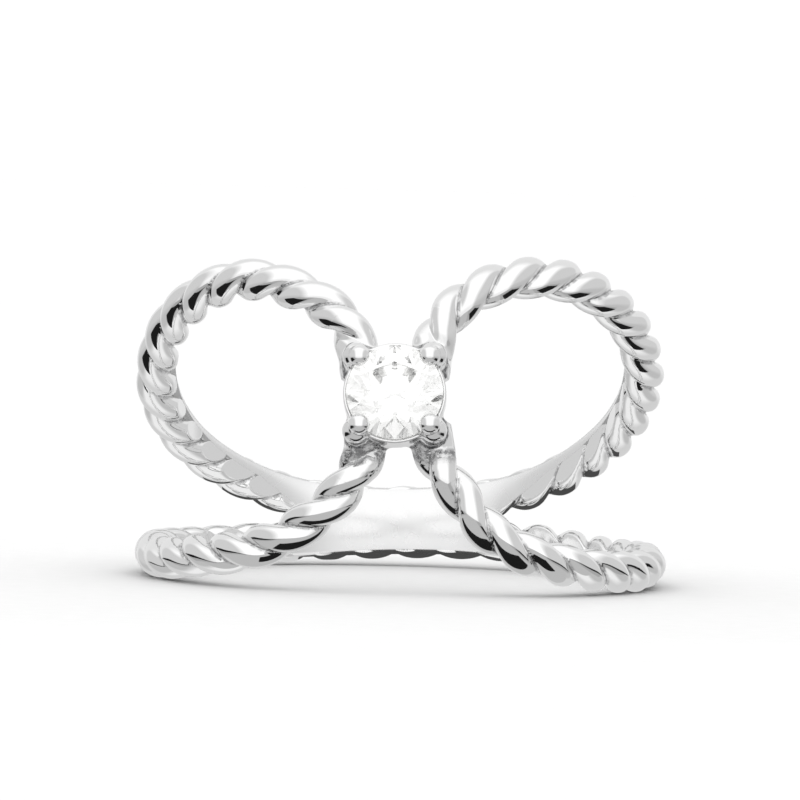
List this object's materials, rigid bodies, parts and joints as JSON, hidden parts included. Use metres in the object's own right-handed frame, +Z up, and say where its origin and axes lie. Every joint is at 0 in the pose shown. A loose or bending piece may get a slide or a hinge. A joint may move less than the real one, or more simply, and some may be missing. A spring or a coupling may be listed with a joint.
{
  "type": "ring with a cubic zirconia",
  "caption": "Finger ring of crossed rope-twist bands that meet at a claw-set round brilliant stone and join into a smooth shank.",
  "frame": {"origin": "on the floor, under the middle of the lying ring", "axes": "+Z up, -Y towards the stone in front, +X to the right of someone who looks at the stone. The finger hole's axis leans back by about 17 degrees, as the ring lies."},
  "size_m": [0.0204, 0.0208, 0.0126],
  "materials": {
    "silver": "rhodium-plated silver, polished bright",
    "zirconia": "colourless, cut and polished"
  },
  "bodies": {
    "root": {"ring_band": "silver", "stone": "zirconia"}
  },
  "joints": []
}
